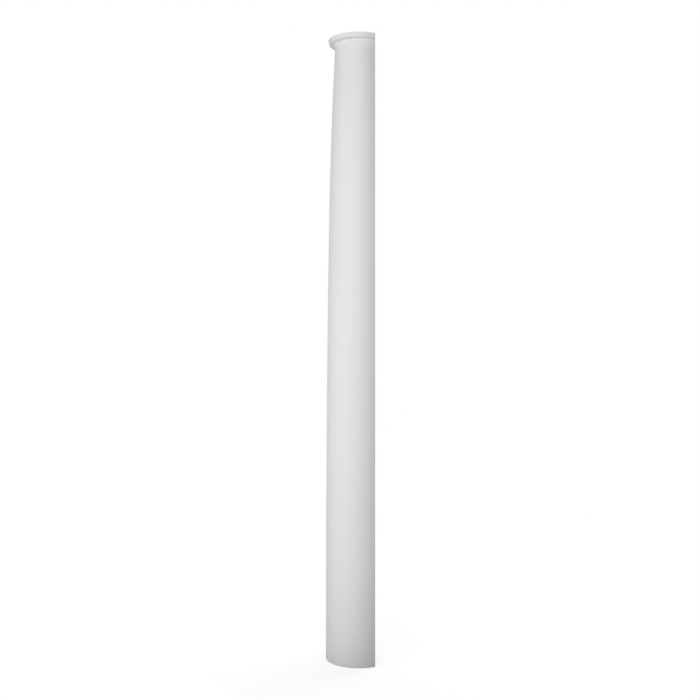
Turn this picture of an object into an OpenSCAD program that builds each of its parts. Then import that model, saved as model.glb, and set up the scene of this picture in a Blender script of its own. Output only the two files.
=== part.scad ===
// Plain Doric column shaft, three-quarter round with a flat back, moulded in one piece.
// Millimetres, +Z up. The origin is on the column's axis, on the underside.
// The round front faces -Y and the flat back, which goes against a wall, faces +Y.

/* [Shaft] */
// Height from the underside to the top face
shaft_h = 2400; // [1200:10:3600]
// Diameter at the foot
foot_d = 255; // [210:1:340]
// Radius lost by the slow curve that runs from foot to top
slow_taper = 22; // [0:1:30]
// Further radius that is lost close to the top
top_taper = 16; // [0:1:24]
// How late the further taper sets in: higher is nearer the top
top_taper_power = 6.7; // [4:0.1:10]

/* [Neck] */
// Height of the hollow curve that spreads the neck to its fillet
hollow_h = 10; // [2:0.5:40]
// How far the fillet stands out from the neck
fillet_out = 4.5; // [2:0.5:20]
// Height of the fillet, the upright band under the collar
fillet_h = 9; // [2:0.5:30]

/* [Collar] */
// Height of the collar, fillet to top face
collar_h = 20; // [12:0.5:50]
// How far the collar stands out from the fillet
collar_out = 22; // [12:0.5:50]
// How far the collar's underside climbs on its way out to the corner
underside_rise = 4.5; // [0.5:0.5:4.5]
// How far the rim leans out from the corner to its top edge
rim_lean = 4.5; // [0.5:0.5:4.5]
// Radius of the softened corner between the underside and the rim
rim_round = 3; // [0.5:0.5:4]

/* [Back] */
// Distance from the column's axis back to the flat back
back_y = 64; // [0:1:88]

/* [Edges] */
// Radius of the softened edge round the foot
foot_round = 2; // [0.5:0.5:8]
// Radius of the softened edge round the top face
top_round = 2; // [0.5:0.5:4]

/* [Hidden] */

$fn = 96;
// Straight steps that follow the taper, and steps round each small curve
TAPER_STEPS = 48;
CURVE_STEPS = 10;
// Degrees of turn in the neck's hollow, so that it meets the fillet at a slant
HOLLOW_TURN = 45;
// How far a cutting block runs past what it cuts
OVERRUN = 10;

collar_z = shaft_h - collar_h;
fillet_z = collar_z - fillet_h;
neck_z = fillet_z - hollow_h;
neck_r = shaft_r(neck_z);
fillet_r = neck_r + fillet_out;
collar_r = fillet_r + collar_out;
hollow_half_w = fillet_out / (1 - cos(HOLLOW_TURN));
hollow_half_h = hollow_h / sin(HOLLOW_TURN);
corner = [collar_r - rim_lean, collar_z + underside_rise];
// Slopes of the underside and of the rim, in degrees above level
underside_slope = atan2(underside_rise, collar_out - rim_lean);
rim_slope = atan2(collar_h - underside_rise - top_round, rim_lean);
foot_r = shaft_r(foot_round);

// Radius of the tapering shaft at a height: nearly upright at the foot, drawn in faster towards the top.
function shaft_r(z) =
    foot_d / 2
    - slow_taper * pow(z / shaft_h, 2)
    - top_taper * pow(z / shaft_h, top_taper_power);

// Points of an upright ellipse's arc, centre [r, z], between two angles, without its first point.
function arc(centre, half_w, half_h, from, to) =
    [for (i = [1 : CURVE_STEPS])
        let (a = from + (to - from) * i / CURVE_STEPS)
        [centre[0] + half_w * cos(a), centre[1] + half_h * sin(a)]];

// Softened edge round the foot.
function foot_points() = arc([foot_r - foot_round, foot_round], foot_round, foot_round, -90, 0);

// The taper, from above the foot's soft edge to the neck.
function taper_points() =
    [for (i = [1 : TAPER_STEPS])
        let (z = foot_round + (neck_z - foot_round) * i / TAPER_STEPS)
        [shaft_r(z), z]];

// Hollow curve that flares the neck out to the fillet's lower edge.
function hollow_points() =
    arc([neck_r + hollow_half_w, neck_z], hollow_half_w, hollow_half_h, 180, 180 - HOLLOW_TURN);

// The collar, from the underside's outer end round the softened corner to the rim.
function collar_points() =
    let (
        run_in = rim_round * tan((rim_slope - underside_slope) / 2),
        start = corner - run_in * [cos(underside_slope), sin(underside_slope)],
        centre = start + rim_round * [-sin(underside_slope), cos(underside_slope)]
    )
    concat(
        [start],
        arc(centre, rim_round, rim_round, underside_slope - 90, rim_slope - 90)
    );

// Softened edge round the top face.
function top_points() = arc([collar_r - top_round, shaft_h - top_round], top_round, top_round, 0, 90);

// The turned profile in one piece, from the axis at the underside to the axis at the top.
module profile() {
    polygon(concat(
        [[0, 0], [foot_r - foot_round, 0]],
        foot_points(),
        taper_points(),
        hollow_points(),
        [[fillet_r, collar_z]],
        collar_points(),
        [[collar_r, shaft_h - top_round]],
        top_points(),
        [[0, shaft_h]]
    ));
}

// All that lies behind the flat back.
module behind_back() {
    reach = max(foot_d / 2, collar_r) + OVERRUN;
    translate([-reach, back_y, -OVERRUN])
        cube([2 * reach, reach, shaft_h + 2 * OVERRUN]);
}

module column_shaft() {
    color("gainsboro")
        difference() {
            rotate_extrude() profile();
            behind_back();
        }
}

column_shaft();
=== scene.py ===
# %% [markdown]
# # A plain Doric column shaft
#
# The object is one moulded piece: a tapering round shaft with a small fillet and a rounded
# collar at its head, cut flat at the back so that it can stand against a wall.
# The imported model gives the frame: metres, +Z up, the column's axis on the Z axis, the round
# front towards -Y and the flat back towards +Y. Everything here is made in that frame.

# %% Load the frame
import math

import bmesh
import bpy
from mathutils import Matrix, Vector


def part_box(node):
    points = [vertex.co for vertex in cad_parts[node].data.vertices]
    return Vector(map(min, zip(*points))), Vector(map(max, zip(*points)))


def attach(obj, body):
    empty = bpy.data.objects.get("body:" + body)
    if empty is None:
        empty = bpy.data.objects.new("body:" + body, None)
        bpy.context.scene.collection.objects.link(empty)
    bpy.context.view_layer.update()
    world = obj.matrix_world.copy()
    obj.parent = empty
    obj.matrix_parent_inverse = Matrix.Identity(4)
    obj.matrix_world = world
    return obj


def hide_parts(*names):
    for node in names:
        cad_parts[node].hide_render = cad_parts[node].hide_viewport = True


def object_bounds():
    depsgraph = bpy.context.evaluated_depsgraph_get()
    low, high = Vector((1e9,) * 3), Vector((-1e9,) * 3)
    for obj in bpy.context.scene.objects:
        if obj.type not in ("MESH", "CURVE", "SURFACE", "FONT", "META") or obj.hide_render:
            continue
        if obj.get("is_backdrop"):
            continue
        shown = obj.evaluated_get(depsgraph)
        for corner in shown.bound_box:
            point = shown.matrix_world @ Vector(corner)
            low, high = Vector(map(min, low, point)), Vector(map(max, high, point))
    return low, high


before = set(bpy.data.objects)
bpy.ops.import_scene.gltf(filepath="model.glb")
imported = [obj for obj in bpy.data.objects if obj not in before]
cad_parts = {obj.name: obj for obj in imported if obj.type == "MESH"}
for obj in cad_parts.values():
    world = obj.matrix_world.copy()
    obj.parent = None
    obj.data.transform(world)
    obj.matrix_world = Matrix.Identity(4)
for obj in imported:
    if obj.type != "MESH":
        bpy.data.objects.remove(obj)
cad_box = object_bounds()
foot_corner, head_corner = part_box("column_shaft")
print("the packed shaft runs from", tuple(foot_corner), "to", tuple(head_corner))

# %% [markdown]
# ## Measures of the shaft
#
# The overall sizes come from the frame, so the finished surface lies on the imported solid.
# The smaller ones are the mouldings' own: a hollow that spreads the neck, an upright fillet
# and a collar whose rim leans out. All edges are softened by a millimetre or two, because a
# cast piece never leaves its mould with a knife edge, and a soft edge catches the light.

# %% Sizes in metres
MM = 0.001
height = round(head_corner.z - foot_corner.z, 4)
back_distance = round(head_corner.y, 4)
sizes = {
    "Height": height,
    "Foot Diameter": 255 * MM,
    "Slow Taper": 22 * MM,
    "Top Taper": 16 * MM,
    "Top Taper Power": 6.7,
    "Hollow Height": 10 * MM,
    "Fillet Out": 4.5 * MM,
    "Fillet Height": 9 * MM,
    "Collar Height": 20 * MM,
    "Collar Out": 22 * MM,
    "Underside Rise": 4.5 * MM,
    "Rim Lean": 4.5 * MM,
    "Rim Round": 3 * MM,
    "Back Distance": back_distance,
    "Foot Round": 2 * MM,
    "Top Round": 2 * MM,
    "Arris Round": 0.8 * MM,
}
counts = {
    "Taper Rings": 72,
    "Curve Rings": 12,
    "Edge Rings": 5,
    "Front Steps": 80,
    "Edge Steps": 5,
    "Back Steps": 11,
}
for name, value in sizes.items():
    print(f"{name:16s} {value:.4f}")

# %% [markdown]
# ## One helper for every node
#
# Geometry trees and materials are both built from nodes. One small function adds a node,
# applies its settings and fills its inputs: a value is set, a socket or a node is linked.


# %% Add a node
MATH = "ShaderNodeMath"


def add(tree, kind, inputs=(), **settings):
    """Add a node with its settings. Inputs come in order in a tuple, or by name in a dict."""
    node = tree.nodes.new(kind)
    for name, value in settings.items():
        setattr(node, name, value)
    for key, value in inputs.items() if isinstance(inputs, dict) else enumerate(inputs):
        if isinstance(value, bpy.types.Node):
            value = next(socket for socket in value.outputs if socket.enabled)
        if isinstance(value, bpy.types.NodeSocket):
            tree.links.new(value, node.inputs[key])
        else:
            node.inputs[key].default_value = value
    return node


print("every node is added by", add.__name__ + "()")

# %% [markdown]
# ## A quarter curve
#
# A plasterer runs such a shaft with a cut profile that turns round a centre. The profile is
# a row of points, each held as (radius, inset, height). Five of its stretches are arcs of up
# to a quarter turn: the softened foot, the hollow at the neck, the fillet's lower edge, the
# inner corner under the collar and the softened top. They follow the same rule, so they share
# one small node group. Inset says how far a softened edge draws in, so that the flat back can
# draw in by the same amount.

# %% Node group for a quarter curve
CURVE_INPUTS = ["Centre Radius", "Centre Height", "Half Width", "Half Height", "From", "To", "Inset"]
curve = bpy.data.node_groups.new("Quarter curve", "GeometryNodeTree")
for name in CURVE_INPUTS:
    curve.interface.new_socket(name=name, in_out="INPUT", socket_type="NodeSocketFloat")
curve.interface.new_socket(name="Points", in_out="INPUT", socket_type="NodeSocketInt")
curve.interface.new_socket(name="Geometry", in_out="OUTPUT", socket_type="NodeSocketGeometry")

given = add(curve, "NodeGroupInput").outputs
row = add(curve, "GeometryNodeMeshLine", (given["Points"],))
last = add(curve, MATH, (given["Points"], 1.0), operation="SUBTRACT")
share = add(curve, MATH, (add(curve, "GeometryNodeInputIndex"), last), operation="DIVIDE")
angle = add(curve, "ShaderNodeMapRange", (share, 0.0, 1.0, given["From"], given["To"]))
cosine = add(curve, MATH, (angle,), operation="COSINE")
sine = add(curve, MATH, (angle,), operation="SINE")
radius = add(curve, MATH, (given["Half Width"], cosine, given["Centre Radius"]), operation="MULTIPLY_ADD")
level = add(curve, MATH, (given["Half Height"], sine, given["Centre Height"]), operation="MULTIPLY_ADD")
short = add(curve, MATH, (1.0, cosine), operation="SUBTRACT")
inset = add(curve, MATH, (given["Inset"], short), operation="MULTIPLY")
place = add(curve, "ShaderNodeCombineXYZ", (radius, inset, level))
bent = add(curve, "GeometryNodeSetPosition", {"Geometry": row, "Position": place})
add(curve, "NodeGroupOutput", (bent,))
print("quarter curve group:", len(curve.nodes), "nodes")

# %% [markdown]
# ## The turned shaft
#
# The main tree first works out the profile, from foot to head. The taper is the column's
# entasis: the radius falls with the square of the height, and a second, late term draws the
# neck in faster under the collar. Then every point of the profile becomes a ring of the
# shaft. A ring isn't a full circle: it follows the circle round the front, turns over a
# small softened edge and runs straight across the flat back.

# %% Inputs of the shaft tree
tree = bpy.data.node_groups.new("Turned shaft", "GeometryNodeTree")
shaft_tree = tree
tree.interface.new_socket(name="Geometry", in_out="INPUT", socket_type="NodeSocketGeometry")
for name in sizes:
    tree.interface.new_socket(name=name, in_out="INPUT", socket_type="NodeSocketFloat")
for name in counts:
    tree.interface.new_socket(name=name, in_out="INPUT", socket_type="NodeSocketInt")
tree.interface.new_socket(name="Finish", in_out="INPUT", socket_type="NodeSocketMaterial")
tree.interface.new_socket(name="Geometry", in_out="OUTPUT", socket_type="NodeSocketGeometry")
given = add(tree, "NodeGroupInput").outputs
print("the shaft tree takes", len(given) - 1, "inputs")

# %% Heights of the mouldings, from the top down
collar_low = add(tree, MATH, (given["Height"], given["Collar Height"]), operation="SUBTRACT")
fillet_low = add(tree, MATH, (collar_low, given["Fillet Height"]), operation="SUBTRACT")
neck_high = add(tree, MATH, (fillet_low, given["Hollow Height"]), operation="SUBTRACT")
rounding = add(tree, MATH, (given["Height"], given["Top Round"]), operation="SUBTRACT")
foot_radius = add(tree, MATH, (given["Foot Diameter"], 0.5), operation="MULTIPLY")
print("the collar's underside is at", round(height - sizes["Collar Height"], 4), "m")


# %% The entasis
def shaft_radius(at):
    """Radius of the tapering shaft at a height."""
    share = add(tree, MATH, (at, given["Height"]), operation="DIVIDE")
    square = add(tree, MATH, (share, 2.0), operation="POWER")
    late = add(tree, MATH, (share, given["Top Taper Power"]), operation="POWER")
    slow_loss = add(tree, MATH, (square, given["Slow Taper"]), operation="MULTIPLY")
    loss = add(tree, MATH, (late, given["Top Taper"], slow_loss), operation="MULTIPLY_ADD")
    return add(tree, MATH, (foot_radius, loss), operation="SUBTRACT")


neck_radius = shaft_radius(neck_high)
fillet_radius = add(tree, MATH, (neck_radius, given["Fillet Out"]), operation="ADD")
collar_radius = add(tree, MATH, (fillet_radius, given["Collar Out"]), operation="ADD")
print("nodes after the entasis:", len(tree.nodes))

# %% The taper, a row of points that follow the shaft's radius
taper_row = add(tree, "GeometryNodeMeshLine", (given["Taper Rings"],))
row_end = add(tree, MATH, (given["Taper Rings"], 1.0), operation="SUBTRACT")
row_share = add(tree, MATH, (add(tree, "GeometryNodeInputIndex"), row_end), operation="DIVIDE")
row_height = add(tree, "ShaderNodeMapRange", (row_share, 0.0, 1.0, given["Foot Round"], neck_high))
row_place = add(tree, "ShaderNodeCombineXYZ", (shaft_radius(row_height), 0.0, row_height))
taper = add(tree, "GeometryNodeSetPosition", {"Geometry": taper_row, "Position": row_place})
print("the taper has", counts["Taper Rings"], "rings")

# %% [markdown]
# The hollow turns through an eighth of an ellipse, so it meets the fillet at a slant and not
# level. Its half sizes follow from how far and how high it has to reach: an arc from 180 to
# 135 degrees reaches 1 - cos 45 of its half width and sin 45 of its half height.

# %% The curved stretches of the profile
EIGHTH = math.radians(45)
SPREAD = 1 - math.cos(EIGHTH)
RISE = math.sin(EIGHTH)
FILLET_EDGE_START = -40
foot_round, top_round, arris = given["Foot Round"], given["Top Round"], given["Arris Round"]

hollow_reach = add(tree, MATH, (arris, -SPREAD, given["Fillet Out"]), operation="MULTIPLY_ADD")
hollow_width = add(tree, MATH, (hollow_reach, SPREAD), operation="DIVIDE")
hollow_rise = add(tree, MATH, (given["Hollow Height"], RISE), operation="DIVIDE")

# Each stretch: centre radius, centre height, half width, half height, two angles in degrees,
# rings, inset.
stretches = [
    (
        add(tree, MATH, (shaft_radius(foot_round), foot_round), operation="SUBTRACT"), foot_round,
        foot_round, foot_round, -90, 0, "Edge Rings", arris,
    ),
    (
        add(tree, MATH, (neck_radius, hollow_width), operation="ADD"), neck_high,
        hollow_width, hollow_rise, 180, 135, "Curve Rings", 0.0,
    ),
    (
        add(tree, MATH, (fillet_radius, arris), operation="SUBTRACT"),
        add(tree, MATH, (arris, RISE, fillet_low), operation="MULTIPLY_ADD"),
        arris, arris, FILLET_EDGE_START, 0, "Edge Rings", 0.0,
    ),
    (
        add(tree, MATH, (fillet_radius, arris), operation="ADD"),
        add(tree, MATH, (collar_low, arris), operation="SUBTRACT"),
        arris, arris, 180, 90, "Edge Rings", 0.0,
    ),
    (
        add(tree, MATH, (collar_radius, top_round), operation="SUBTRACT"), rounding,
        top_round, top_round, 0, 90, "Edge Rings", arris,
    ),
]
curves = []
for centre_radius, centre_height, half_width, half_height, start, end, rings, drawn_in in stretches:
    angles = (math.radians(start), math.radians(end))
    values = (centre_radius, centre_height, half_width, half_height, *angles, drawn_in, given[rings])
    curves.append(add(tree, "GeometryNodeGroup", node_tree=curve))
    for socket, value in zip(curves[-1].inputs, values):
        if isinstance(value, float):
            socket.default_value = value
        else:
            tree.links.new(value.outputs[0] if isinstance(value, bpy.types.Node) else value, socket)
print(len(curves), "curved stretches")

# %% [markdown]
# The collar is two straight runs with a softened corner: the underside climbs a little as it
# goes out, and the rim leans out as it goes up. Three points give the corner, a short line of
# points takes their places by number, and Fillet Curve rounds the middle one.

# %% The collar
inner_radius = add(tree, MATH, (fillet_radius, arris), operation="ADD")
lower_radius = add(tree, MATH, (collar_radius, given["Rim Lean"]), operation="SUBTRACT")
lower_height = add(tree, MATH, (collar_low, given["Underside Rise"]), operation="ADD")
corners = [
    add(tree, "ShaderNodeCombineXYZ", (inner_radius, 0.0, collar_low)),
    add(tree, "ShaderNodeCombineXYZ", (lower_radius, 0.0, lower_height)),
    add(tree, "ShaderNodeCombineXYZ", (collar_radius, 0.0, rounding)),
]
pick = add(tree, "GeometryNodeIndexSwitch", data_type="VECTOR")
pick.index_switch_items.new()
for socket, source in zip(pick.inputs, [add(tree, "GeometryNodeInputIndex"), *corners]):
    tree.links.new(source.outputs[0], socket)
corner_row = add(tree, "GeometryNodeMeshLine", (len(corners),))
corner_line = add(tree, "GeometryNodeSetPosition", {"Geometry": corner_row, "Position": pick})
corner_curve = add(tree, "GeometryNodeMeshToCurve", (corner_line,))
rounded = add(
    tree, "GeometryNodeFilletCurve",
    {"Curve": corner_curve, "Radius": given["Rim Round"], "Count": given["Edge Rings"]}, mode="POLY",
)
collar = add(tree, "GeometryNodeCurveToMesh", {"Curve": rounded})
print("the collar is drawn from", len(corners), "points")

# %% Join the stretches into one profile, foot first
# Join Geometry puts the last link first, so the stretches are linked from the top down.
foot_edge, hollow, fillet_edge, inner_corner, top_edge = curves
profile = add(tree, "GeometryNodeJoinGeometry")
for stretch in (top_edge, collar, inner_corner, fillet_edge, hollow, taper, foot_edge):
    tree.links.new(stretch.outputs[0], profile.inputs[0])
profile_size = add(tree, "GeometryNodeAttributeDomainSize", (profile,), component="MESH")
print("the profile joins", len(profile.inputs[0].links), "stretches")

# %% [markdown]
# ## From profile to shaft
#
# A lathe or a spin would turn the profile into a full round, and the back would have to be
# cut off afterwards, which leaves long thin faces along the cut. So the shaft is wrapped
# instead. A flat sheet of points has one row for each ring. Each point looks up its row's
# radius and height, and works out from its place in the row how far round the ring it lies.

# %% A sheet of points: one row for each ring, and one more at each end for the end faces
ring_count = add(tree, MATH, (profile_size.outputs["Point Count"], 2.0), operation="ADD")
edge_steps = add(tree, MATH, (given["Front Steps"], given["Edge Steps"]), operation="ADD")
half_steps = add(tree, MATH, (edge_steps, given["Back Steps"]), operation="ADD")
around_count = add(tree, MATH, (half_steps, 2.0, 1.0), operation="MULTIPLY_ADD")
sheet = add(tree, "GeometryNodeMeshGrid", {"Vertices X": ring_count, "Vertices Y": around_count})
number = add(tree, "GeometryNodeInputIndex")
row_number = add(tree, MATH, (number, around_count), operation="DIVIDE")
ring = add(tree, MATH, (row_number,), operation="FLOOR")
step = add(tree, MATH, (number, around_count), operation="FLOORED_MODULO")
half_ring = counts["Front Steps"] + counts["Edge Steps"] + counts["Back Steps"]
print("points in a ring:", 2 * half_ring + 1)

# %% Each ring takes its radius, inset and height from one point of the profile
profile_point = add(
    tree, "GeometryNodeSampleIndex",
    {
        "Geometry": profile,
        "Value": add(tree, "GeometryNodeInputPosition"),
        "Index": add(tree, MATH, (ring, 1.0), operation="SUBTRACT"),
    },
    data_type="FLOAT_VECTOR", domain="POINT", clamp=True,
)
ring_radius, ring_inset, ring_height = add(tree, "ShaderNodeSeparateXYZ", (profile_point,)).outputs
print("nodes after the rings' sizes:", len(tree.nodes))

# %% How far round the ring each point lies: front curve, softened edge, flat back
from_front = add(tree, MATH, (half_steps, step), operation="SUBTRACT")
side = add(tree, MATH, (from_front,), operation="SIGN")
away = add(tree, MATH, (from_front,), operation="ABSOLUTE")
on_front = add(tree, "ShaderNodeMapRange", (away, 0.0, given["Front Steps"]))
on_edge = add(tree, "ShaderNodeMapRange", (away, given["Front Steps"], edge_steps))
on_back = add(tree, "ShaderNodeMapRange", (away, edge_steps, half_steps))
print("steps in half a ring:", [counts[part] for part in ("Front Steps", "Edge Steps", "Back Steps")])

# %% The centre line of the softened edge, and the two angles
# The edge is a small round of the arris radius, rolled inside the corner of circle and flat.
core_radius = add(tree, MATH, (ring_radius, arris), operation="SUBTRACT")
ring_back = add(tree, MATH, (given["Back Distance"], ring_inset), operation="SUBTRACT")
core_back = add(tree, MATH, (ring_back, arris), operation="SUBTRACT")
core_share = add(tree, MATH, (core_back, core_radius), operation="DIVIDE")
left_over = add(tree, MATH, (core_share,), operation="ARCCOSINE")
front_sweep = add(tree, MATH, (math.pi, left_over), operation="SUBTRACT")
front_angle = add(tree, MATH, (front_sweep, on_front), operation="MULTIPLY")
edge_angle = add(tree, MATH, (left_over, on_edge, front_angle), operation="MULTIPLY_ADD")
half_sweep = math.degrees(math.pi - math.acos(back_distance / (sizes["Foot Diameter"] / 2)))
print("at the foot the round front sweeps about", round(2 * half_sweep), "degrees")

# %% Across and forward of each point
sine_front = add(tree, MATH, (front_angle,), operation="SINE")
cosine_front = add(tree, MATH, (front_angle,), operation="COSINE")
sine_edge = add(tree, MATH, (edge_angle,), operation="SINE")
cosine_edge = add(tree, MATH, (edge_angle,), operation="COSINE")
edge_across = add(tree, MATH, (arris, sine_edge), operation="MULTIPLY")
edge_forward = add(tree, MATH, (arris, cosine_edge), operation="MULTIPLY")
across = add(tree, MATH, (core_radius, sine_front, edge_across), operation="MULTIPLY_ADD")
forward = add(tree, MATH, (core_radius, cosine_front, edge_forward), operation="MULTIPLY_ADD")
to_middle = add(tree, MATH, (1.0, on_back), operation="SUBTRACT")
narrowed = add(tree, MATH, (across, to_middle), operation="MULTIPLY")
sideways = add(tree, MATH, (narrowed, side), operation="MULTIPLY")
towards_wall = add(tree, MATH, (forward, -1.0), operation="MULTIPLY")
print("nodes after the places round the ring:", len(tree.nodes))

# %% The first and last rings close to a point on the axis, which makes the end faces
last_open = add(tree, MATH, (ring_count, 1.5), operation="SUBTRACT")
above_foot = add(tree, MATH, (ring, 0.5), operation="GREATER_THAN")
below_top = add(tree, MATH, (ring, last_open), operation="LESS_THAN")
open_ring = add(tree, MATH, (above_foot, below_top), operation="MULTIPLY")
point = add(
    tree, "ShaderNodeCombineXYZ",
    (
        add(tree, MATH, (sideways, open_ring), operation="MULTIPLY"),
        add(tree, MATH, (towards_wall, open_ring), operation="MULTIPLY"),
        ring_height,
    ),
)
wrapped = add(tree, "GeometryNodeSetPosition", {"Geometry": sheet, "Position": point})
SEAM_DISTANCE = 0.01 * MM
sewn = add(tree, "GeometryNodeMergeByDistance", {"Geometry": wrapped, "Distance": SEAM_DISTANCE})
print("points closer than", SEAM_DISTANCE / MM, "mm are sewn together")

# %% [markdown]
# The sheet's two sides meet in a seam along the middle of the back, and its first and last rows
# shrink to one point each. Merge by Distance closes all of these. The round parts are shaded
# smooth, and the back and the end faces flat, so that light doesn't bend across their edges.

# %% Smooth round the shaft, flat on the back and the end faces
# A face counts as flat when its normal lies along Y or Z to within a quarter of a degree.
FLAT = 0.99999
facing = add(tree, "ShaderNodeSeparateXYZ", (add(tree, "GeometryNodeInputNormal"),)).outputs
facing_back = add(tree, MATH, (facing[1],), operation="ABSOLUTE")
facing_end = add(tree, MATH, (facing[2],), operation="ABSOLUTE")
flattest = add(tree, MATH, (facing_back, facing_end), operation="MAXIMUM")
is_round = add(tree, MATH, (flattest, FLAT), operation="LESS_THAN")
smoothed = add(tree, "GeometryNodeSetShadeSmooth", {"Geometry": sewn, "Shade Smooth": is_round})
whole = add(tree, "GeometryNodeRealizeInstances", (smoothed,))
finished = add(tree, "GeometryNodeSetMaterial", {"Geometry": whole, "Material": given["Finish"]})
add(tree, "NodeGroupOutput", (finished,))
print("shaft tree:", len(tree.nodes), "nodes")

# %% [markdown]
# ## The finish: factory-primed moulded polyurethane
#
# Room columns of this kind are moulded in rigid polyurethane foam and leave the factory with
# one sprayed coat of white primer. The primer is a dull, slightly chalky film, so the eye
# reads the roundness from soft shading and hardly from gloss. Close up it keeps three marks
# of how it was made: the fine orange peel of the spray, the slow unevenness and faint rings
# of a long mould, and the odd pinhole where an air bubble broke.
#
# The back and the two ends are trimmed flat after moulding. They carry a thinner coat over
# fine trimming ridges.
#
# Every pattern is worked out from the object's own coordinates in metres, so it keeps its
# real size and needs no unwrapping.


# %% Colours are written as sRGB hex and turned to linear
def linear(hex_colour):
    """An sRGB hex colour as linear red, green, blue and alpha."""
    parts = [int(hex_colour[i : i + 2], 16) / 255 for i in (1, 3, 5)]
    return [c / 12.92 if c <= 0.04045 else ((c + 0.055) / 1.055) ** 2.4 for c in parts] + [1.0]


PRIMER_WHITE = linear("#E8E8E8")
PRIMER_THIN = linear("#DCDBD8")
print("primer white:", [round(c, 3) for c in PRIMER_WHITE[:3]])

# %% The material and its coordinates
primer = bpy.data.materials.new("Factory-primed moulded polyurethane")
primer.use_nodes = True
tree = primer.node_tree
tree.nodes.clear()
place = add(tree, "ShaderNodeTexCoord").outputs["Object"]
_, forward, level = add(tree, "ShaderNodeSeparateXYZ", (place,)).outputs
print("patterns read", place.name, "coordinates, in metres")

# %% Orange peel of the sprayed film
# Sprayed primer has a peel about 2 mm across. In a view of the whole shaft that is too fine
# to show, so it is drawn twice as coarse, and only a few hundredths of a millimetre deep.
PEEL_SIZE = 4 * MM
PEEL_DEPTH = 0.03 * MM
peel = add(tree, "ShaderNodeTexNoise", {"Vector": place, "Scale": 1 / PEEL_SIZE, "Detail": 2.0})
print("orange peel:", PEEL_SIZE / MM, "mm across")

# %% The mould's slow unevenness
# A long mould is never quite even: it has slow waves about a hand's width across, drawn out
# upright. They move the surface by a third of a millimetre and the tone by a hundredth.
WAVE_SIZE = 120 * MM
WAVE_DEPTH = 0.35 * MM
WAVE_SQUEEZE = (1.0, 1.0, 0.35)
upright = add(tree, "ShaderNodeMapping", {"Vector": place, "Scale": WAVE_SQUEEZE})
wave = add(tree, "ShaderNodeTexNoise", {"Vector": upright, "Scale": 1 / WAVE_SIZE, "Detail": 3.0})
print("waves:", WAVE_SIZE / MM, "mm across and", WAVE_DEPTH / MM, "mm deep")

# %% Faint rings of the mould round the foot
# Each ring is a shallow line a few millimetres wide, where two pieces of the mould meet.
# Its coat is also painted a little darker, as painted shade of that shallow groove.
# A coarser noise breaks it up, so that it fades in and out on its way round.
RING_LEVELS = [111 * MM, 269 * MM, 345 * MM]
RING_HALF_WIDTH = 2.5 * MM
RING_DEPTH = 0.1 * MM
PATCH_SIZE = 60 * MM
PATCH_FROM, PATCH_FULL = 0.42, 0.62
patches = add(tree, "ShaderNodeTexNoise", {"Vector": place, "Scale": 1 / PATCH_SIZE, "Detail": 1.0})
patchy = add(tree, "ShaderNodeMapRange", (patches, PATCH_FROM, PATCH_FULL), interpolation_type="SMOOTHSTEP")
rings = 0.0
for ring_level in RING_LEVELS:
    offset = add(tree, MATH, (level, ring_level), operation="SUBTRACT")
    gap = add(tree, MATH, (offset,), operation="ABSOLUTE")
    line = add(tree, "ShaderNodeMapRange", (gap, RING_HALF_WIDTH, 0.0), interpolation_type="SMOOTHSTEP")
    rings = add(tree, MATH, (rings, line), operation="MAXIMUM")
rings = add(tree, MATH, (rings, patchy), operation="MULTIPLY")
print(len(RING_LEVELS), "mould rings")

# %% [markdown]
# Single marks are what makes a moulded piece look handled and not drawn: a bubble that broke
# at the neck, a light fleck and a short scratch near the foot. Each is given its own place on the
# surface. A Mapping node set to Texture moves a small ball of space to the mark's place and
# size, so the distance from its middle fades the mark out at its edge.

# %% Single marks: a pinhole at the neck, a fleck and a scratch near the foot
# Each is a small soft ellipsoid about a point of the surface: its centre, and its half sizes.
MARKS = {
    "pinhole": ((93.5 * MM, 3 * MM, 2332 * MM), (2.5 * MM, 2.5 * MM, 2.5 * MM)),
    "fleck": ((127.4 * MM, 4 * MM, 111 * MM), (3 * MM, 2 * MM, 4 * MM)),
    "scratch": ((125.8 * MM, 18 * MM, 310 * MM), (3 * MM, 1.5 * MM, 7 * MM)),
}
marks = {}
for name, (centre, half_sizes) in MARKS.items():
    near = add(
        tree, "ShaderNodeMapping",
        {"Vector": place, "Location": centre, "Scale": half_sizes}, vector_type="TEXTURE",
    )
    reach = add(tree, "ShaderNodeVectorMath", (near,), operation="LENGTH")
    marks[name] = add(tree, "ShaderNodeMapRange", (reach, 1.0, 0.0), interpolation_type="SMOOTHSTEP")
print("marks:", *marks)

# %% Pinholes over the whole shaft
# Only where a cell's centre happens to lie in the surface does a hole about 2 mm across show,
# which leaves a handful over the whole shaft.
CELL_SIZE = 90 * MM
HOLE_RADIUS = 1.3 * MM
HOLE_DEPTH = 0.6 * MM
HOLE_RIM = HOLE_RADIUS / CELL_SIZE
HOLE_BOTTOM = 0.4 * HOLE_RIM
cells = add(tree, "ShaderNodeTexVoronoi", {"Vector": place, "Scale": 1 / CELL_SIZE})
scatter = add(tree, "ShaderNodeMapRange", (cells, HOLE_RIM, HOLE_BOTTOM), interpolation_type="SMOOTHSTEP")
holes = add(tree, MATH, (marks["pinhole"], scatter), operation="MAXIMUM")
print("scattered pinholes:", 2 * HOLE_RADIUS / MM, "mm across at most")

# %% [markdown]
# The back and the two ends were never against the mould: a blade trimmed them flat. They are
# found by distance, from the plane of the back, the underside and the top face, so the rougher
# finish fades out on their softened edges.

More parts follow.
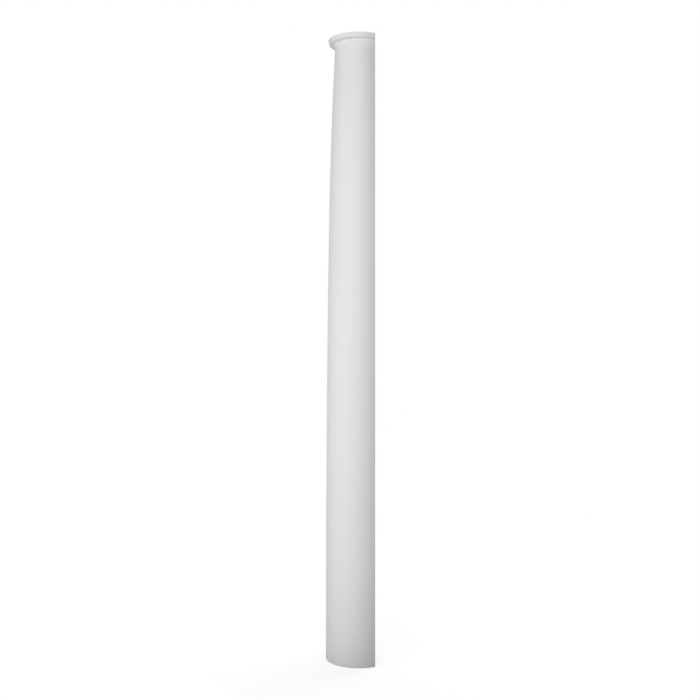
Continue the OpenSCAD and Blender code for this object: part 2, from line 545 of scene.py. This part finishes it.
# %% The trimmed faces: the flat back, the underside and the top
FACE_END, FACE_START = 0.6 * MM, 0.2 * MM
from_back = add(tree, MATH, (back_distance, forward), operation="SUBTRACT")
from_top = add(tree, MATH, (height, level), operation="SUBTRACT")
from_end = add(tree, MATH, (level, from_top), operation="MINIMUM")
from_face = add(tree, MATH, (from_back, from_end), operation="MINIMUM")
trimmed = add(
    tree, "ShaderNodeMapRange", (from_face, FACE_END, FACE_START), interpolation_type="SMOOTHSTEP"
)
print("the trimmed finish fades out", FACE_END / MM, "mm from each flat face")

# %% Trimming ridges
# The trimming blade leaves ridges about 3 mm apart: upright ones on the back, and ones that
# run front to back on the ends. Squeezing the noise along two axes draws it out into lines.
RIDGE_SIZE = 3 * MM
RIDGE_DEPTH = 0.12 * MM
RIDGE_SQUEEZE = (1.0, 0.05, 0.01)
drawn_out = add(tree, "ShaderNodeMapping", {"Vector": place, "Scale": RIDGE_SQUEEZE})
grain = add(tree, "ShaderNodeTexNoise", {"Vector": drawn_out, "Scale": 1 / RIDGE_SIZE, "Detail": 2.0})
ridges = add(tree, MATH, (grain, trimmed), operation="MULTIPLY")
print("trimming ridges:", RIDGE_SIZE / MM, "mm apart")

# %% Tone of the film
# The coat varies by a hundredth or two. The rings carry painted shade, a little darker than
# the coat around them; pinholes are darker still.
NOISE_MIDDLE = 0.5
WAVE_TONE = 0.03
TONE_CHANGES = [
    # painted shade: the mould rings darken the coat's tone as well as carrying a shallow relief
    (rings, -0.035),
    (holes, -0.25),
    (marks["scratch"], -0.05),
    (marks["fleck"], 0.06),
    (ridges, -0.10),
]
wave_part = add(tree, MATH, (wave, NOISE_MIDDLE), operation="SUBTRACT")
tone = add(tree, MATH, (wave_part, WAVE_TONE, 1.0), operation="MULTIPLY_ADD")
for pattern, change in TONE_CHANGES:
    tone = add(tree, MATH, (pattern, change, tone), operation="MULTIPLY_ADD")
coat = add(tree, "ShaderNodeMix", {0: trimmed, 6: PRIMER_WHITE, 7: PRIMER_THIN}, data_type="RGBA")
toned = add(tree, "ShaderNodeVectorMath", {0: coat, "Scale": tone}, operation="SCALE")
print("patterns that change the tone:", 1 + len(TONE_CHANGES))

# %% Relief of the film, as a height in metres
DEPTHS = [
    (wave, WAVE_DEPTH),
    (rings, -RING_DEPTH),
    (holes, -HOLE_DEPTH),
    (ridges, RIDGE_DEPTH),
]
relief = add(tree, MATH, (peel, PEEL_DEPTH), operation="MULTIPLY")
for pattern, depth in DEPTHS:
    relief = add(tree, MATH, (pattern, depth, relief), operation="MULTIPLY_ADD")
bump = add(tree, "ShaderNodeBump", {"Height": relief, "Strength": 1.0, "Distance": 1.0})
print("deepest relief:", max(abs(depth) for _, depth in DEPTHS) / MM, "mm")

# %% The primer's shader
# The binder is an acrylic, with an IOR of 1.49, but its surface is full of chalk grains that
# break its skin. So the gloss is broad, and well under that of a whole film. The trimmed
# faces are the rougher ones.
FILM_ROUGHNESS = 0.7
WAVE_ROUGHNESS = 0.1
TRIM_ROUGHNESS = 0.15
base_rough = add(tree, MATH, (wave_part, WAVE_ROUGHNESS, FILM_ROUGHNESS), operation="MULTIPLY_ADD")
roughness = add(tree, MATH, (trimmed, TRIM_ROUGHNESS, base_rough), operation="MULTIPLY_ADD")
film = add(
    tree, "ShaderNodeBsdfPrincipled",
    {"Base Color": toned, "Roughness": roughness, "IOR": 1.49, "Specular IOR Level": 0.2, "Normal": bump},
)
add(tree, "ShaderNodeOutputMaterial", (film,))
print(primer.name + ":", len(tree.nodes), "nodes")

# %% [markdown]
# ## From tree to plain mesh
#
# The tree runs as a modifier on an empty mesh. Its inputs are set by the identifier of each
# socket, before the object is evaluated for the first time. The result is then copied out as
# a plain mesh with its place in its points, and the object that carried the modifier goes.

# %% Run the tree and keep the plain mesh
carrier = bpy.data.objects.new("shaft_carrier", bpy.data.meshes.new("shaft_carrier"))
bpy.context.scene.collection.objects.link(carrier)
turning = carrier.modifiers.new("Turned shaft", "NODES")
turning.node_group = shaft_tree
wanted = {**sizes, **counts, "Finish": primer}
for item in shaft_tree.interface.items_tree:
    if item.in_out == "INPUT" and item.name in wanted:
        turning[item.identifier] = wanted[item.name]
bpy.context.view_layer.update()
evaluated = carrier.evaluated_get(bpy.context.evaluated_depsgraph_get())
shaft_mesh = bpy.data.meshes.new_from_object(evaluated)
shaft_mesh.name = "shaft"
# The tree's result starts with an empty slot. It goes, so that the finish is in the first one.
if shaft_mesh.materials[0] is None:
    shaft_mesh.materials.pop(index=0)
bpy.data.objects.remove(carrier)
shaft = bpy.data.objects.new("shaft", shaft_mesh)
bpy.context.scene.collection.objects.link(shaft)
print("plain mesh:", shaft_mesh.name, "with the finish", shaft_mesh.materials[0].name)

# %% Measure the mesh: is it closed, and do its faces point outwards?
measured = bmesh.new()
measured.from_mesh(shaft_mesh)
open_edges = sum(not edge.is_manifold for edge in measured.edges)
triangles = sum(len(face.verts) - 2 for face in measured.faces)
print(len(measured.verts), "points,", triangles, "triangles,", open_edges, "open edges")
volume = measured.calc_volume(signed=True)
print("volume", round(volume, 5), "cubic metres, above zero when faces point outwards")
measured.free()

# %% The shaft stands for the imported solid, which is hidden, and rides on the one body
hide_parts("column_shaft")
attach(shaft, "root")
print(shaft.name, "sits at", tuple(shaft.location), "and rides on the body root")

# %% [markdown]
# ## Camera
#
# The view looks along the wall, so the flat back is seen edge-on as the straight upright line
# at the right. The camera stands in the plane of the back, just under four metres away and at
# half the column's height, and looks level, so that uprights stay upright.

# %% The camera
FRONT_VIEW_DISTANCE = 3.7857
EYE_LEVEL = 1.198
TURN_FROM_SQUARE = 1.482
camera_data = bpy.data.cameras.new("camera")
camera_data.lens = 50
camera_data.sensor_width = 36
camera = bpy.data.objects.new("camera", camera_data)
bpy.context.scene.collection.objects.link(camera)
camera.location = (FRONT_VIEW_DISTANCE, back_distance, EYE_LEVEL)
camera.rotation_euler = (math.radians(90), 0, math.radians(90 + TURN_FROM_SQUARE))
bpy.context.scene.camera = camera
print("camera stands at", tuple(round(v, 3) for v in camera.location))

# %% [markdown]
# ## A plain pale floor
#
# The column stands on a round, pale table of a floor. To the camera it has a glow of its own
# that brings it up to the white of the room, and what light it gets comes on top, so the
# column's shadow stays as a faint grey at its foot. To every other ray it is a plain matt
# grey, which keeps it from throwing extra light up at the column.


# %% The floor
FLOOR_RADIUS = 0.6
floor_mesh = bpy.data.meshes.new("floor")
disc = bmesh.new()
bmesh.ops.create_circle(disc, cap_ends=True, segments=128, radius=FLOOR_RADIUS)
disc.to_mesh(floor_mesh)
disc.free()
floor = bpy.data.objects.new("floor", floor_mesh)
bpy.context.scene.collection.objects.link(floor)
floor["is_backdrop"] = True

# %% The floor's paint
paint = bpy.data.materials.new("Pale studio floor")
paint.use_nodes = True
tree = paint.node_tree
tree.nodes.clear()
path = add(tree, "ShaderNodeLightPath").outputs
seen_direct = add(tree, MATH, (path["Is Camera Ray"], path["Is Glossy Ray"]), operation="ADD")
seen = add(tree, MATH, (seen_direct, path["Is Transmission Ray"]), operation="ADD", use_clamp=True)
matt = add(tree, "ShaderNodeBsdfDiffuse", {"Color": linear("#898989")})
glow = add(tree, "ShaderNodeEmission", {"Color": (1.0, 1.0, 1.0, 1.0), "Strength": 0.78})
both = add(tree, "ShaderNodeAddShader", (matt, glow))
add(tree, "ShaderNodeOutputMaterial", (add(tree, "ShaderNodeMixShader", (seen, matt, both)),))
floor_mesh.materials.append(paint)
print("floor:", FLOOR_RADIUS, "m in radius")

# %% [markdown]
# ## Soft studio light
#
# A white object on white is drawn by its own shading, so the lamps stay wide and gentle. The
# room itself gives an even light of about a third of white. The camera sees that room as
# full white, by asking which kind of ray is looking, and no light is added for it.

# %% The room
ROOM_LIGHT = 0.3
world = bpy.data.worlds.new("studio")
bpy.context.scene.world = world
world.use_nodes = True
tree = world.node_tree
tree.nodes.clear()
path = add(tree, "ShaderNodeLightPath").outputs
seen_direct = add(tree, MATH, (path["Is Camera Ray"], path["Is Glossy Ray"]), operation="ADD")
seen = add(tree, MATH, (seen_direct, path["Is Transmission Ray"]), operation="ADD", use_clamp=True)
room = add(tree, "ShaderNodeBackground", {"Color": (1.0, 1.0, 1.0, 1.0), "Strength": ROOM_LIGHT})
backdrop = add(tree, "ShaderNodeBackground", {"Color": (1.0, 1.0, 1.0, 1.0), "Strength": 1.0})
add(tree, "ShaderNodeOutputWorld", (add(tree, "ShaderNodeMixShader", (seen, room, backdrop)),))
bpy.context.scene.view_settings.view_transform = "Standard"
print("room light", ROOM_LIGHT)

# %% [markdown]
# The lamps are wide soft boxes. Two stand low to the left and a stronger one in front of the
# head, so the shaft is brightest a little left of its middle and falls off towards the wall.
# A weak one on the right opens up the shade beside the wall. Two weak ones shine up from
# beside the floor, which keeps the underside of the collar from going black. Three more light
# the far side, the flat back and the top face, so the shaft reads from every side.


# %% A soft box aimed at the column's axis
def softbox(name, bearing, rise, distance, aim_height, width, tall, watts):
    """An area lamp: bearing and rise in degrees, bearing counted to the right from the camera's side."""
    turn, lift = math.radians(bearing), math.radians(rise)
    towards = Vector((math.cos(turn) * math.cos(lift), math.sin(turn) * math.cos(lift), math.sin(lift)))
    lamp = bpy.data.lights.new(name, "AREA")
    lamp.shape = "RECTANGLE"
    lamp.size, lamp.size_y = width, tall
    lamp.energy = watts
    box = bpy.data.objects.new(name, lamp)
    bpy.context.scene.collection.objects.link(box)
    box.location = Vector((0, 0, aim_height)) + towards * distance
    box.rotation_euler = towards.to_track_quat("Z", "Y").to_euler()
    box.visible_camera = False
    print(f"{name}: {watts} W at", tuple(round(v, 2) for v in box.location))


# %% The lamps
# Name, bearing, rise, distance, aim height, width, height of the box, watts.
softbox("left low", -60, 0, 2.6, 0.9, 1.2, 1.8, 11.3)
softbox("left middle", -45, 0, 2.6, 0.9, 1.2, 1.8, 8.5)
softbox("front high", -15, 0, 2.6, 2.2, 1.2, 1.8, 27.1)
softbox("right high", 40, 0, 2.6, 2.2, 1.2, 1.8, 4.7)
softbox("left from below", -45, -25, 2.6, 1.2, 1.4, 1.0, 4.9)
softbox("front from below", 0, -45, 2.4, 1.4, 1.4, 1.0, 2.9)
softbox("far side", 180, 30, 3.2, 1.2, 1.8, 1.8, 8.0)
softbox("wall side", 135, 20, 3.2, 1.2, 1.8, 1.8, 52.0)
softbox("overhead", 180, 65, 3.2, 1.2, 1.8, 1.8, 35.0)

# %% [markdown]
# ## Sizes, and the end
#
# The finished model is meant to stay inside the imported model's box. Both boxes are printed
# side by side.

# %% Write the sizes and finish
visual_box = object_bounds()
boxes = {"cad": [list(corner) for corner in cad_box], "visual": [list(corner) for corner in visual_box]}
for name, corners in boxes.items():
    print(name, [[round(value, 4) for value in corner] for corner in corners])
